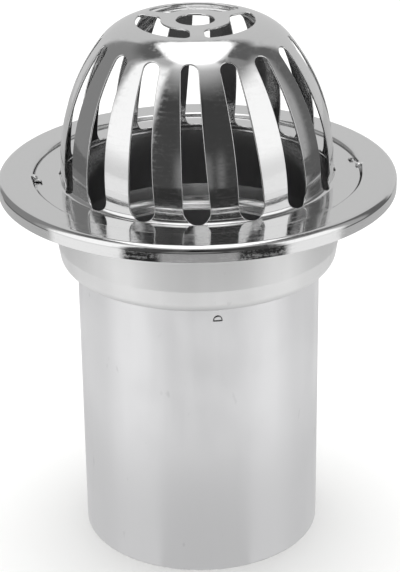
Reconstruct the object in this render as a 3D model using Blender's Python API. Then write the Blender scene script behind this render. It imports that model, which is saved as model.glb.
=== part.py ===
"""Outdoor floor drain in stainless steel.

Three pressed or rolled pieces: a slotted strainer dome, the flange and bowl drawn from one
sheet, and the outlet pipe welded into the bowl's floor. Lengths are in metres and +Z is up. The
origin is the middle of the pipe's lower end, and azimuth 0 points along -Y, growing towards +X.
"""
import math

import bmesh
import bpy
import numpy as np

# Outlet pipe
PIPE_RADIUS = 0.0495
PIPE_WALL = 0.0012
PIPE_LENGTH = 0.1208

# The one sheet that flange, recess and bowl are drawn from
SHEET = 0.0010

# Bowl, with a faint crease in its wall above a rounded corner
BOWL_STEP = 0.0077
BOWL_DEPTH = 0.0388
BOWL_CORNER = 0.0045
CREASE_RISE = 0.0104
CREASE_BEND = 0.0030
CREASE_ANGLE = math.radians(9.0)

# Seat and recess for the strainer, and the flange round it with its edge turned down
SEAT_WIDTH = 0.0088
SEAT_BEND = 0.0015
RECESS_BEND = 0.0015
RECESS_FILLET = 0.0010
FLANGE_BRIM = 0.0140
LIP_DEPTH = 0.0063
LIP_BEND = 0.0026

# Nubs struck out of the recess wall, which hold the strainer down
NUB_AZIMUTH = math.radians(94.0)
NUB_COUNT = 2
NUB_REACH = 0.0020
NUB_HALF_WIDTH = 0.0019
NUB_ROOT = 0.0015

# Strainer dome and its rim disc
STRAINER_SHEET = 0.0008
DISC_CLEARANCE = 0.0007
DISC_BRIM = 0.0106
DOME_HEIGHT = 0.0634
FOOT_FILLET = 0.0018
FOOT_WALL = 0.0037
SHOULDER_RADIUS = 0.0218
CROWN_RADIUS = 0.0205

# Slots round the dome, wider towards the foot and leaning a little
SLOT_COUNT = 16
SLOT_TOP_WIDTH = 0.0064
SLOT_FOOT_WIDTH = 0.0107
SLOT_TOP_DROP = 0.0066
SLOT_FOOT_RISE = 0.0002
SLOT_LEAN = math.radians(3.8)

# Openings in the crown, which grow and shrink with it
CROWN_HOLE_SHARE = 0.37
KIDNEY_INNER_SHARE = 0.663
KIDNEY_OUTER_SHARE = 1.146
KIDNEY_CORNER_SHARE = 0.127
SPOKE_COUNT = 3
SPOKE_WIDTH = 0.0056
SPOKE_AZIMUTH = math.radians(2.0)

# Notches in the rim of the disc, which pass the nubs
NOTCH_AZIMUTH = math.radians(99.0)
NOTCH_WIDTH = 0.0062
NOTCH_DEPTH = 0.0027
NOTCH_CORNER = 0.0014

# Gap between pieces that touch, and how far a cutter runs past what it cuts
JOINT_GAP = 0.0003
CUT_OVERRUN = 0.0010

# Fineness of the round surfaces
TURN_STEPS = 64
CHORD_ERROR = 0.00010
FINE_CHORD_ERROR = 0.00001
COARSEST_ARC_STEP = math.radians(45.0)
SLOT_STATIONS = 12
KIDNEY_STATIONS = 7
KIDNEY_SPANS = 14
NOTCH_STATIONS = 5
NUB_SEGMENTS = 20
NUB_RINGS = 12
WELD_DISTANCE = 0.00001

# Radii from the axis outwards, each from the one it fits round
PIPE_BORE_RADIUS = PIPE_RADIUS - PIPE_WALL
BOWL_RADIUS = PIPE_RADIUS + BOWL_STEP
RECESS_RADIUS = BOWL_RADIUS + SEAT_WIDTH
DISC_RADIUS = RECESS_RADIUS - DISC_CLEARANCE
DOME_RADIUS = DISC_RADIUS - DISC_BRIM
FLANGE_RADIUS = RECESS_RADIUS + FLANGE_BRIM
CROWN_HOLE_RADIUS = CROWN_HOLE_SHARE * CROWN_RADIUS
KIDNEY_INNER_RADIUS = KIDNEY_INNER_SHARE * CROWN_RADIUS
KIDNEY_OUTER_RADIUS = KIDNEY_OUTER_SHARE * CROWN_RADIUS
KIDNEY_CORNER = KIDNEY_CORNER_SHARE * CROWN_RADIUS
FLOOR_HOLE_RADIUS = PIPE_RADIUS + JOINT_GAP

# Heights above the pipe's lower end, whose upper end is level with the bowl's inner floor
FLANGE_HEIGHT = PIPE_LENGTH - SHEET + BOWL_DEPTH
SEAT_DEPTH = RECESS_BEND + RECESS_FILLET
DISC_TOP = FLANGE_HEIGHT - SEAT_DEPTH + JOINT_GAP + STRAINER_SHEET


def clear_scene():
    for item in list(bpy.data.objects):
        bpy.data.objects.remove(item, do_unlink=True)


def steel(name, colour, roughness):
    material = bpy.data.materials.new(name)
    material.use_nodes = True
    shader = material.node_tree.nodes["Principled BSDF"]
    shader.inputs["Base Color"].default_value = (*colour, 1.0)
    shader.inputs["Metallic"].default_value = 1.0
    shader.inputs["Roughness"].default_value = roughness
    return material


def add_object(name, mesh, height, material=None):
    """Link a mesh as an object on the drain's axis, with its origin at the given height."""
    item = bpy.data.objects.new(name, mesh)
    item.location = (0.0, 0.0, height)
    bpy.context.scene.collection.objects.link(item)
    if material is not None:
        mesh.materials.append(material)
    return item


def arc_step(bend, error):
    """The largest angle whose chord stays that close to an arc of the given radius."""
    return min(COARSEST_ARC_STEP, 2.0 * math.acos(max(0.0, 1.0 - error / bend)))


def trace(start, heading, moves, error=CHORD_ERROR):
    """Follow a path in the (radius, height) plane and return rows of radius, height, heading.

    A move is (length,) for a straight run or (radius, angle) for an arc, which turns left for
    a positive angle and right for a negative one.
    """
    rows = [(start[0], start[1], heading)]
    for move in moves:
        radius, height, heading = rows[-1]
        if len(move) == 1:
            run = move[0]
            rows.append((radius + run * math.cos(heading), height + run * math.sin(heading), heading))
            continue
        bend, angle = move
        side = math.copysign(bend, angle)
        centre = (radius - side * math.sin(heading), height + side * math.cos(heading))
        parts = math.ceil(abs(angle) / arc_step(bend, error))
        for part in range(1, parts + 1):
            turned = heading + angle * part / parts
            rows.append((centre[0] + side * math.sin(turned), centre[1] - side * math.cos(turned), turned))
    return np.array(rows)


def offset(rows, distance):
    """Points at a distance to the left of each row of a path."""
    left = np.column_stack([-np.sin(rows[:, 2]), np.cos(rows[:, 2])])
    return rows[:, :2] + distance * left


def sheet_section(rows, thickness):
    """Closed outline of a bent sheet: its seen side, then its hidden side on the way back."""
    return np.vstack([rows[:, :2], offset(rows, thickness)[::-1]])


def section_mesh(name, outline):
    """The outline as a loop of edges in the XZ plane at +X, running down its outer side."""
    points = outline[::-1]
    count = len(points)
    mesh = bpy.data.meshes.new(name)
    edges = [(index, (index + 1) % count) for index in range(count)]
    mesh.from_pydata([(radius, 0.0, height) for radius, height in points], edges, [])
    return mesh


def turn(item):
    """Turn a section round the Z axis with a Screw modifier."""
    screw = item.modifiers.new("turned", "SCREW")
    screw.axis = "Z"
    screw.steps = TURN_STEPS
    screw.render_steps = TURN_STEPS
    screw.use_merge_vertices = True
    screw.merge_threshold = WELD_DISTANCE
    screw.use_smooth_shade = True


def cut(item, cutter, operation="DIFFERENCE"):
    """Cut a piece, or join to it, with a guide that is left out of the build."""
    cutter.hide_render = True
    cutter.display_type = "WIRE"
    boolean = item.modifiers.new(cutter.name, "BOOLEAN")
    boolean.operation = operation
    boolean.solver = "EXACT"
    boolean.object = cutter


def polar(radius, azimuth, height):
    """Points in space from radius, azimuth and height, which may be arrays of one shape."""
    radius, azimuth, height = np.broadcast_arrays(radius, azimuth, height)
    return np.stack([radius * np.sin(azimuth), -radius * np.cos(azimuth), height], axis=-1)


def fill_between(form, lower, upper):
    """Add a closed body between two grids of points, the lower one seen from below."""
    rows, columns = lower.shape[:2]
    low = [[form.verts.new(point) for point in line] for line in lower]
    high = [[form.verts.new(point) for point in line] for line in upper]
    for row in range(rows - 1):
        for column in range(columns - 1):
            near, far = row, row + 1
            left, right = column, column + 1
            form.faces.new([high[near][left], high[near][right], high[far][right], high[far][left]])
            form.faces.new([low[near][left], low[far][left], low[far][right], low[near][right]])
    border = [(0, column) for column in range(columns - 1)]
    border += [(row, columns - 1) for row in range(rows - 1)]
    border += [(rows - 1, column) for column in range(columns - 1, 0, -1)]
    border += [(row, 0) for row in range(rows - 1, 0, -1)]
    for index, here in enumerate(border):
        there = border[(index + 1) % len(border)]
        corners = [low[here[0]][here[1]], low[there[0]][there[1]]]
        corners += [high[there[0]][there[1]], high[here[0]][here[1]]]
        form.faces.new(corners)


def cutter_object(name, grids, height):
    """One guide made of several closed bodies, each between two grids."""
    form = bmesh.new()
    for lower, upper in grids:
        fill_between(form, lower, upper)
    bmesh.ops.remove_doubles(form, verts=form.verts, dist=WELD_DISTANCE)
    bmesh.ops.recalc_face_normals(form, faces=form.faces)
    mesh = bpy.data.meshes.new(name)
    form.to_mesh(mesh)
    form.free()
    return add_object(name, mesh, height)


def rounded(distance, corner):
    """How far an edge draws in at a distance from its end, for a corner of that radius."""
    inside = np.clip(corner - distance, 0.0, corner)
    return corner - np.sqrt(corner ** 2 - inside ** 2)


def cosine_shares(count):
    """Shares from 0 to 1, close together at both ends, where the round corners are."""
    return (1.0 - np.cos(np.linspace(0.0, math.pi, count))) / 2.0


def dome_path(error):
    """The strainer's seen side, from the disc's edge over the foot and dome to the crown hole.

    The side arc is the one that leaves the foot wall straight up and meets the shoulder arc
    without a kink, which fixes its radius and its angle.
    """
    across = DOME_RADIUS - CROWN_RADIUS - SHOULDER_RADIUS
    rise = DOME_HEIGHT - FOOT_FILLET - FOOT_WALL - SHOULDER_RADIUS
    side_angle = 2.0 * math.atan2(across, rise)
    shoulder_angle = math.pi / 2.0 - side_angle
    side_radius = SHOULDER_RADIUS + rise / math.sin(side_angle)
    moves = [
        (DISC_BRIM - FOOT_FILLET,),
        (FOOT_FILLET, -math.pi / 2.0),
        (FOOT_WALL,),
        (side_radius, side_angle),
        (SHOULDER_RADIUS, shoulder_angle),
        (CROWN_RADIUS - CROWN_HOLE_RADIUS,),
    ]
    return trace((DISC_RADIUS, 0.0), math.pi, moves, error)


def slot_grids():
    """Bars that follow the dome's curve and cut the slots square to its surface."""
    path = dome_path(FINE_CHORD_ERROR)
    steps = np.hypot(np.diff(path[:, 0]), np.diff(path[:, 1]))
    length = np.concatenate([[0.0], np.cumsum(steps)])
    foot = np.interp(SLOT_FOOT_RISE, path[:, 1], length)
    top = np.interp(DOME_HEIGHT - SLOT_TOP_DROP, path[:, 1], length)
    share = cosine_shares(SLOT_STATIONS)
    station = foot + (top - foot) * share
    rows = np.column_stack([np.interp(station, length, path[:, part]) for part in range(3)])
    half = (SLOT_FOOT_WIDTH + (SLOT_TOP_WIDTH - SLOT_FOOT_WIDTH) * share) / 2.0
    half = half - rounded(station - foot, SLOT_FOOT_WIDTH / 2.0)
    half = np.clip(half - rounded(top - station, SLOT_TOP_WIDTH / 2.0), 0.0, None)
    across = np.arcsin(half / rows[:, 0])
    outer = offset(rows, -CUT_OVERRUN)
    inner = offset(rows, STRAINER_SHEET + CUT_OVERRUN)
    grids = []
    for index in range(SLOT_COUNT):
        middle = math.tau * index / SLOT_COUNT - SLOT_LEAN * share
        azimuth = np.column_stack([middle - across, middle + across])
        lower = polar(inner[:, :1], azimuth, inner[:, 1:])
        upper = polar(outer[:, :1], azimuth, outer[:, 1:])
        grids.append((lower, upper))
    return grids


def kidney_grids():
    """Upright prisms for the three kidney slots between the crown's spokes."""
    share = cosine_shares(KIDNEY_STATIONS)
    radius = KIDNEY_INNER_RADIUS + (KIDNEY_OUTER_RADIUS - KIDNEY_INNER_RADIUS) * share
    side = SPOKE_WIDTH / 2.0 + rounded(radius - KIDNEY_INNER_RADIUS, KIDNEY_CORNER)
    side = side + rounded(KIDNEY_OUTER_RADIUS - radius, KIDNEY_CORNER)
    inset = np.arcsin(side / radius)[:, None]
    pitch = math.tau / SPOKE_COUNT
    span = np.linspace(0.0, 1.0, KIDNEY_SPANS)[None, :]
    low = DOME_HEIGHT - SHOULDER_RADIUS / 2.0
    high = DOME_HEIGHT + CUT_OVERRUN
    grids = []
    for index in range(SPOKE_COUNT):
        first = SPOKE_AZIMUTH + pitch * index
        azimuth = first + inset + (pitch - 2.0 * inset) * span
        grids.append((polar(radius[:, None], azimuth, low), polar(radius[:, None], azimuth, high)))
    return grids


def notch_grids():
    """Upright prisms for the notches, rounded at their inner corners."""
    start = DISC_RADIUS - NOTCH_DEPTH
    depth = NOTCH_DEPTH + CUT_OVERRUN
    along = start + depth * np.linspace(0.0, 1.0, NOTCH_STATIONS) ** 2
    half = NOTCH_WIDTH / 2.0 - rounded(along - start, NOTCH_CORNER)
    azimuth = np.arcsin(half / along)[:, None] * np.array([-1.0, 1.0])
    low = -STRAINER_SHEET - CUT_OVERRUN
    grids = []
    for index in range(NUB_COUNT):
        turned = NOTCH_AZIMUTH + math.tau * index / NUB_COUNT + azimuth
        grids.append((polar(along[:, None], turned, low), polar(along[:, None], turned, CUT_OVERRUN)))
    return grids


def build_strainer(material):
    """The pressed strainer: dome, disc, slots, crown openings and notches."""
    outline = sheet_section(dome_path(CHORD_ERROR), STRAINER_SHEET)
    dome = add_object("strainer_dome", section_mesh("strainer_dome", outline), DISC_TOP, material)
    turn(dome)
    cut(dome, cutter_object("slot_cutters", slot_grids(), DISC_TOP))
    cut(dome, cutter_object("kidney_cutters", kidney_grids(), DISC_TOP))
    cut(dome, cutter_object("notch_cutters", notch_grids(), DISC_TOP))
    return dome


def bowl_path():
    """The seen side of flange and bowl, from the lip's lower edge to the hole in the floor.

    The corner above the floor is limited by the width between the wall and the hole.
    """
    quarter = math.pi / 2.0
    taper_room = CREASE_RISE * math.tan(CREASE_ANGLE)
    corner = min(BOWL_CORNER, BOWL_STEP - SHEET - JOINT_GAP - taper_room)
    wall_run = BOWL_DEPTH - CREASE_RISE - SEAT_DEPTH - SEAT_BEND
    crease_drop = CREASE_BEND * math.sin(CREASE_ANGLE)
    corner_drop = corner * (1.0 - math.sin(CREASE_ANGLE))
    taper_run = (CREASE_RISE - SHEET - crease_drop - corner_drop) / math.cos(CREASE_ANGLE)
    moves = [
        (LIP_DEPTH - LIP_BEND,),
        (LIP_BEND, quarter),
        (FLANGE_BRIM - LIP_BEND - RECESS_BEND,),
        (RECESS_BEND, quarter),
        (RECESS_FILLET, -quarter),
        (SEAT_WIDTH + SHEET - RECESS_FILLET - SEAT_BEND,),
        (SEAT_BEND, quarter),
        (wall_run,),
        (CREASE_BEND, -CREASE_ANGLE),
        (taper_run,),
        (corner, CREASE_ANGLE - quarter),
    ]
    rows = trace((FLANGE_RADIUS, -LIP_DEPTH), quarter, moves)
    last = rows[-1]
    return np.vstack([rows, (FLOOR_HOLE_RADIUS, last[1], last[2])])


def nub_object():
    """Rounded nubs with a flat underside just above the disc, one body for each."""
    bottom = SEAT_DEPTH - STRAINER_SHEET - 2.0 * JOINT_GAP
    half_length = (NUB_REACH + NUB_ROOT) / 2.0
    middle = RECESS_RADIUS - NUB_REACH + half_length
    form = bmesh.new()
    for index in range(NUB_COUNT):
        ball = bmesh.ops.create_uvsphere(form, u_segments=NUB_SEGMENTS, v_segments=NUB_RINGS, radius=1.0)
        azimuth = NUB_AZIMUTH + math.tau * index / NUB_COUNT
        for vert in ball["verts"]:
            across, along, up = vert.co
            place = polar(middle + half_length * along, azimuth, max(up, 0.0) * bottom - bottom)
            sideways = NUB_HALF_WIDTH * across
            vert.co = place + np.array([math.cos(azimuth), math.sin(azimuth), 0.0]) * sideways
    bmesh.ops.remove_doubles(form, verts=form.verts, dist=WELD_DISTANCE)
    bmesh.ops.dissolve_degenerate(form, edges=form.edges, dist=WELD_DISTANCE)
    bmesh.ops.recalc_face_normals(form, faces=form.faces)
    mesh = bpy.data.meshes.new("nubs")
    form.to_mesh(mesh)
    form.free()
    return add_object("nubs", mesh, FLANGE_HEIGHT)


def build_bowl(material):
    """Flange and bowl with the two nubs joined to the recess wall."""
    outline = sheet_section(bowl_path(), SHEET)
    bowl = add_object("flange_bowl", section_mesh("flange_bowl", outline), FLANGE_HEIGHT, material)
    turn(bowl)
    cut(bowl, nub_object(), "UNION")
    return bowl


def build_pipe(material):
    """The outlet pipe, whose upper end is set into the hole in the bowl's floor and welded."""
    outline = np.array([
        (PIPE_RADIUS, 0.0),
        (PIPE_RADIUS, PIPE_LENGTH),
        (PIPE_BORE_RADIUS, PIPE_LENGTH),
        (PIPE_BORE_RADIUS, 0.0),
    ])
    pipe = add_object("outlet_pipe", section_mesh("outlet_pipe", outline), 0.0, material)
    turn(pipe)
    return pipe


def main():
    clear_scene()
    polished = steel("polished_stainless_steel", (0.78, 0.77, 0.76), 0.12)
    satin = steel("satin_stainless_steel", (0.72, 0.72, 0.72), 0.34)
    build_pipe(satin)
    build_bowl(satin)
    build_strainer(polished)


main()
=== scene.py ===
"""Outdoor floor drain in stainless steel: strainer dome, flange with bowl, and outlet pipe.

Each piece is a surface worked out with numpy from a profile turned round the Z axis. Lengths are
in metres and azimuth 0 points along -Y, growing towards +X.
"""

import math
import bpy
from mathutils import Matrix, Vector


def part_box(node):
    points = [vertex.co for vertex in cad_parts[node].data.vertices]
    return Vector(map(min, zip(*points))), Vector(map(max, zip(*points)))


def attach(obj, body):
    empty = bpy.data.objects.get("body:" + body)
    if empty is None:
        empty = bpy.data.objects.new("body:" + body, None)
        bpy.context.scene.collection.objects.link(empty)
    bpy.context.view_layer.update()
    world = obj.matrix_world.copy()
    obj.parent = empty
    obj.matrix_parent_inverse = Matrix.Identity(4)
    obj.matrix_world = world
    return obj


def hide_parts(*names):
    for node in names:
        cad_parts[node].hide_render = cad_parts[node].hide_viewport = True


bl_info = {
    "name": "Outdoor Floor Drain",
    "version": (1, 0, 0),
    "blender": (4, 5, 0),
    "location": "3D View > Sidebar > Floor Drain",
    "description": "Models a stainless steel floor drain with a slotted strainer dome",
    "category": "Add Mesh",
}

import bpy
import numpy as np
from mathutils import Matrix

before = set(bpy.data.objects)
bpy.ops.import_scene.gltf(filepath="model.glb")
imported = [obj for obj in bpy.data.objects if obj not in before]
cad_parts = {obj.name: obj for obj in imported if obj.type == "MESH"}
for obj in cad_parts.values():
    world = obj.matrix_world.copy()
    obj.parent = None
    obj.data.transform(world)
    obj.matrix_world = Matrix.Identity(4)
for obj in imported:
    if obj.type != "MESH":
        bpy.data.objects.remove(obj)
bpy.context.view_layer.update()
DOME_LOW, DOME_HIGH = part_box("strainer_dome")
BOWL_LOW, BOWL_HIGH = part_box("flange_bowl")
PIPE_LOW, PIPE_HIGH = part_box("outlet_pipe")

# Columns round the strainer, steps in a rounded edge, and in metres how near points are
# merged and how far a probe steps
COLUMNS = 240
EDGE_STEPS = 5
WELD = 1e-7
PROBE = 1e-6


def length(name, default, description):
    return bpy.props.FloatProperty(
        name=name, description=description, default=default, min=0.0, precision=5, unit="LENGTH"
    )


def angle(name, degrees, description):
    return bpy.props.FloatProperty(
        name=name, description=description, default=math.radians(degrees), subtype="ANGLE"
    )


def number(name, default, description):
    return bpy.props.FloatProperty(name=name, description=description, default=default)


def count(name, default, description):
    return bpy.props.IntProperty(name=name, description=description, default=default, min=1)


def linear(code):
    """An sRGB hex colour as linear red, green and blue."""
    parts = [int(code[place:place + 2], 16) / 255.0 for place in (1, 3, 5)]
    return [part / 12.92 if part <= 0.04045 else ((part + 0.055) / 1.055) ** 2.4 for part in parts]


def colour(name, code, description):
    return bpy.props.FloatVectorProperty(
        name=name, description=description, default=linear(code), subtype="COLOR", min=0.0, max=1.0
    )


class StrainerSizes(bpy.types.PropertyGroup):
    """Sizes of the strainer dome."""

    sheet: length("Sheet", 0.0008, "Thickness of the strainer's sheet")
    edge: length("Edge rounding", 0.00034, "Radius at the punched and trimmed edges")
    disc_radius: length("Disc radius", DOME_HIGH[0], "Outer radius of the rim disc")
    disc_brim: length("Disc brim", 0.0106, "Width of the disc outside the dome")
    foot_fillet: length("Foot fillet", 0.0018, "Bend radius between disc and dome")
    foot_wall: length("Foot wall", 0.0037, "Upright run above the foot fillet")
    shoulder_radius: length("Shoulder radius", 0.0218, "Radius of the dome's shoulder")
    crown_radius: length("Crown radius", 0.0205, "Radius of the flat crown")
    slot_count: count("Slots", 16, "Number of slots round the dome")
    slot_foot_width: length("Slot foot width", 0.0107, "Width of a slot at its foot")
    slot_top_width: length("Slot top width", 0.0064, "Width of a slot at its top")
    slot_foot_rise: length("Slot foot rise", 0.0002, "Height of a slot's foot above the disc")
    slot_top_drop: length("Slot top drop", 0.0066, "Depth of a slot's top below the crown")
    slot_lean: angle("Slot lean", 3.8, "Turn of a slot from its foot to its top")
    hole_radius: length("Crown hole", 0.00759, "Radius of the hole in the crown")
    kidney_inner: length("Kidney inner", 0.01359, "Inner radius of the kidney slots")
    kidney_outer: length("Kidney outer", 0.02349, "Outer radius of the kidney slots")
    kidney_corner: length("Kidney corner", 0.0026, "Corner radius of the kidney slots")
    spoke_count: count("Spokes", 3, "Number of spokes in the crown")
    spoke_width: length("Spoke width", 0.0056, "Width of a spoke")
    spoke_azimuth: angle("Spoke azimuth", 2.0, "Azimuth of the first spoke")
    notch_azimuth: angle("Notch azimuth", 99.0, "Azimuth of the first notch in the disc")
    notch_count: count("Notches", 2, "Number of notches in the disc")
    notch_width: length("Notch width", 0.0062, "Width of a notch")
    notch_depth: length("Notch depth", 0.0027, "Depth of a notch")
    notch_corner: length("Notch corner", 0.0014, "Radius of a notch's inner corners")
    notch_mouth: length("Notch mouth", 0.0005, "Radius of a notch's outer corners")


class BowlSizes(bpy.types.PropertyGroup):
    """Sizes of the flange, recess and bowl."""

    sheet: length("Sheet", 0.0010, "Thickness of the sheet")
    edge: length("Edge rounding", 0.0002, "Radius at the sheet's trimmed edges")
    flange_radius: length("Flange radius", BOWL_HIGH[0], "Outer radius of the flange")
    lip_depth: length("Lip depth", 0.0063, "Height of the turned-down edge")
    lip_bend: length("Lip bend", 0.0026, "Outer bend radius of the turned-down edge")
    recess_radius: length("Recess radius", 0.0660, "Radius of the recess for the strainer")
    recess_bend: length("Recess bend", 0.0015, "Bend radius at the recess's upper edge")
    recess_fillet: length("Recess fillet", 0.0010, "Bend radius at the foot of the recess")
    seat_bend: length("Seat bend", 0.0015, "Bend radius where the seat turns into the bowl")
    bowl_radius: length("Bowl radius", 0.0572, "Outer radius of the bowl")
    bowl_corner: length("Bowl corner", 0.0045, "Inner bend radius above the bowl's floor")
    crease_rise: length("Crease rise", 0.0104, "Height of the crease above the underside")
    crease_bend: length("Crease bend", 0.0030, "Bend radius of the crease")
    crease_angle: angle("Crease angle", 9.0, "How far the wall leans in below the crease")
    floor_hole: length("Floor hole", 0.0498, "Radius of the hole in the bowl's floor")
    nub_azimuth: angle("Nub azimuth", 94.0, "Azimuth of the first nub")
    nub_count: count("Nubs", 2, "Number of nubs in the recess wall")
    nub_reach: length("Nub reach", 0.0020, "How far a nub stands out of the wall")
    nub_root: length("Nub root", 0.0015, "How far a nub's root runs back under the flange")
    nub_half_width: length("Nub half width", 0.0019, "Half the width of a nub")
    nub_depth: length("Nub depth", 0.0011, "Depth of a nub's underside below the flange")
    nub_blend: length("Nub blend", 0.00025, "Softness of the line where a nub meets the wall")


class PipeSizes(bpy.types.PropertyGroup):
    """Sizes of the outlet pipe."""

    wall: length("Wall", 0.0012, "Thickness of the pipe's wall")
    edge: length("Edge rounding", 0.0002, "Radius at the cut ends")
    radius: length("Radius", PIPE_HIGH[0], "Outer radius of the pipe")
    weld_azimuth: angle("Weld azimuth", 180.0, "Azimuth of the weld along the tube")
    weld_half_width: length("Weld half width", 0.0011, "Half the width of the ground weld")
    weld_rise: length("Weld rise", 0.00005, "How far the ground weld stands out")
    punch_azimuth: angle("Punch azimuth", 8.4, "Azimuth of the punch mark")
    punch_height: length("Punch height", 0.1141, "Height of the punch mark's flat side")
    punch_half_width: length("Punch half width", 0.0017, "Half the width of the punch mark")
    punch_rise: length("Punch rise", 0.0020, "Height of the punch mark")
    punch_line: length("Punch line", 0.00034, "Half the width of the punch mark's line")
    punch_depth: length("Punch depth", 0.00022, "Depth of the punch mark's line")


class SteelLook(bpy.types.PropertyGroup):
    """Colours and gloss of the steel."""

    polished: colour("Polished", "#dddddd", "Colour of the polished steel")
    polished_roughness: number("Polished roughness", 0.075, "Roughness of the polished steel")
    drawn_roughness: number("Drawn roughness", 0.15, "Roughness of the sheet inside the bowl")
    sheet: colour("Pickled sheet", "#e2e2e2", "Colour of the pickled sheet under the flange")
    sheet_roughness: number("Pickled roughness", 0.46, "Roughness of the pickled sheet")
    tube: colour("Tube", "#dcdcdd", "Colour of the rolled tube")
    tube_roughness: number("Tube roughness", 0.34, "Roughness of the rolled tube")
    # Darkens the handling smudges, and as painted shade the groove along the punch mark's line
    grime: colour("Smudge and groove shade", "#3b3a39", "Colour of what gathers in scratches and marks")


class StageLook(bpy.types.PropertyGroup):
    """Floor and light."""

    floor: colour("Floor", "#f7f7f6", "Colour of the floor")
    floor_reach: length("Floor reach", 4.0, "Half the length of the floor's sides")
    sky: number("Room light", 1.08, "Strength of the even light in the room")
    key: number("Overhead light", 6.0, "Power of the soft light overhead, in watts")


def polar(radius, azimuth, height):
    """Points from radius, azimuth and height: x = r sin a, y = -r cos a."""
    radius, azimuth, height = np.broadcast_arrays(radius, azimuth, height)
    return np.stack([radius * np.sin(azimuth), -radius * np.cos(azimuth), height], axis=-1)


def cylindrical(points):
    """Radius and azimuth of points: r = sqrt(x^2 + y^2), and a is the angle of (-y, x)."""
    return np.hypot(points[..., 0], points[..., 1]), np.arctan2(points[..., 0], -points[..., 1])


def draw_profile(start, heading, moves):
    """Stretches of a path in the (radius, height) plane.

    A move is (length,) for a straight run or (radius, angle) for an arc that turns left for a
    positive angle. Each row holds the arc length, radius, height and heading at the stretch's
    start, and its curvature. The last row is the path's end.
    """
    rows = []
    along, radius, height = 0.0, *start
    for move in moves:
        run = move[0] if len(move) == 1 else move[0] * abs(move[1])
        bend = 0.0 if len(move) == 1 else math.copysign(1.0 / move[0], move[1])
        rows.append((along, radius, height, heading, bend))
        ahead = heading + bend * run
        if bend:
            radius += (math.sin(ahead) - math.sin(heading)) / bend
            height -= (math.cos(ahead) - math.cos(heading)) / bend
        else:
            radius += run * math.cos(heading)
            height += run * math.sin(heading)
        along += run
        heading = ahead
    rows.append((along, radius, height, heading, 0.0))
    return np.array(rows)


def follow(path, along):
    """Radius, height and heading at arc lengths of a path.

    On an arc of curvature k, r = r0 + (sin h - sin h0) / k and z = z0 - (cos h - cos h0) / k,
    where the heading is h = h0 + k s. On a straight run, r = r0 + s cos h0, z = z0 + s sin h0.
    """
    index = np.clip(np.searchsorted(path[:, 0], along, side="right") - 1, 0, len(path) - 2)
    start, radius, height, first, bend = np.moveaxis(path[index], -1, 0)
    run = along - start
    heading = first + bend * run
    curved = bend != 0.0
    divisor = np.where(curved, bend, 1.0)
    across = np.where(curved, (np.sin(heading) - np.sin(first)) / divisor, run * np.cos(first))
    up = np.where(curved, (np.cos(first) - np.cos(heading)) / divisor, run * np.sin(first))
    return radius + across, height + up, heading


def turned(path, along, azimuth, base):
    """Points and normals of the surface that a path makes when it is turned round the Z axis.

    The normal lies to the right of the path: (sin h, -cos h) in the (radius, height) plane.
    """
    radius, height, heading = follow(path, along)
    return polar(radius, azimuth, base + height), polar(np.sin(heading), azimuth, -np.cos(heading))


def crowded(first, last, steps):
    """Values from first to last in steps that crowd at both ends, like the cosine of an angle."""
    share = (1.0 - np.cos(np.linspace(0.0, math.pi, steps + 1))) / 2.0
    return first + (last - first) * share


def spaced(first, last, steps):
    return np.linspace(first, last, steps + 1)


def full_turn(steps):
    """Azimuths from the back, over the front at 0, to the back again."""
    return np.radians(spaced(-180.0, 180.0, steps))


def drawn_in(distance, corner):
    """How far an edge draws in at a distance from its end, for a corner of that radius."""
    inside = np.clip(corner - distance, 0.0, corner)
    return corner - np.sqrt(corner ** 2 - inside ** 2)


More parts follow.
